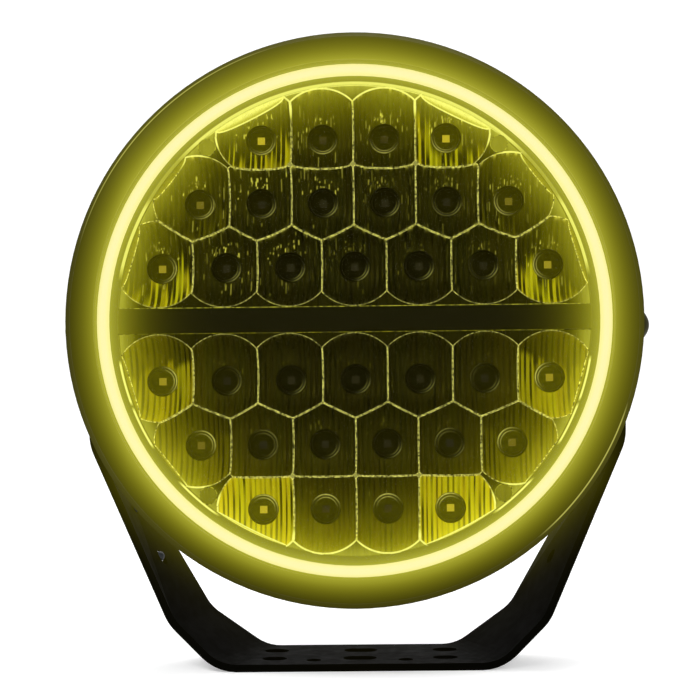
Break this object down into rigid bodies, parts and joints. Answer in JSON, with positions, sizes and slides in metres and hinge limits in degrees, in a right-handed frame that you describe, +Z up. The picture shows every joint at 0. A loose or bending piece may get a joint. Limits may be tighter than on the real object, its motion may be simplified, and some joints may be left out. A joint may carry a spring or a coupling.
{
  "type": "auxiliary led lamp",
  "caption": "Round auxiliary LED driving and fog lamp with a lit position ring and bowl reflectors, tilting in a slotted U-bracket.",
  "frame": {"origin": "middle of the bracket base's flat underside", "axes": "the lamp faces -Y, +X is to the right seen from the front, +Z is up"},
  "size_m": [0.2366, 0.1042, 0.2532],
  "materials": {
    "bracket_coat": "matt black powder coat on steel",
    "housing_coat": "black powder coat on die-cast aluminium",
    "bezel_plastic": "satin black moulded plastic",
    "lens_clear": "clear hard-coated polycarbonate",
    "seal_rubber": "black silicone rubber",
    "halo_light": "lit opal light guide",
    "board_white": "white solder mask",
    "led_yellow": "phosphor-coated LED",
    "trim_black": "black moulded plastic",
    "reflector_coat": "vacuum-metallised plastic",
    "fastener_steel": "stainless steel",
    "bolt_black": "black oxide steel",
    "pad_grey": "thermal gap pad",
    "board_green": "green solder mask",
    "component_black": "moulded components",
    "contact_brass": "brass",
    "gland_plastic": "black nylon"
  },
  "bodies": {
    "bracket": {"bracket": "bracket_coat"},
    "head": {"housing": "housing_coat", "front_bezel": "bezel_plastic", "bezel_screws": "fastener_steel", "lens": "lens_clear", "lens_seal": "seal_rubber", "halo_guide": "halo_light", "halo_board": "board_white", "halo_leds": "led_yellow", "inner_trim": "trim_black", "upper_reflector": "reflector_coat", "lower_reflector": "reflector_coat", "reflector_screws": "fastener_steel", "centre_bar": "trim_black", "led_board": "board_white", "led_emitters": "led_yellow", "thermal_pad": "pad_grey", "board_screws": "fastener_steel", "driver_board": "board_green", "driver_components": "component_black", "feed_header": "contact_brass", "rear_cover": "housing_coat", "rear_cover_seal": "seal_rubber", "rear_cover_screws": "fastener_steel", "cable_gland": "gland_plastic", "gland_nut": "gland_plastic", "gland_grommet": "seal_rubber", "breather_vent": "gland_plastic", "pivot_bolts": "bolt_black", "spring_washers": "fastener_steel", "flat_washers": "fastener_steel", "pivot_pads": "seal_rubber", "thread_inserts": "contact_brass"}
  },
  "joints": [
    {"name": "head_tilt", "type": "hinge", "parent": "bracket", "child": "head", "pos_m": [0, 0, 0.136], "axis": [-1, 0, 0], "range_deg": [-20, 40]}
  ]
}
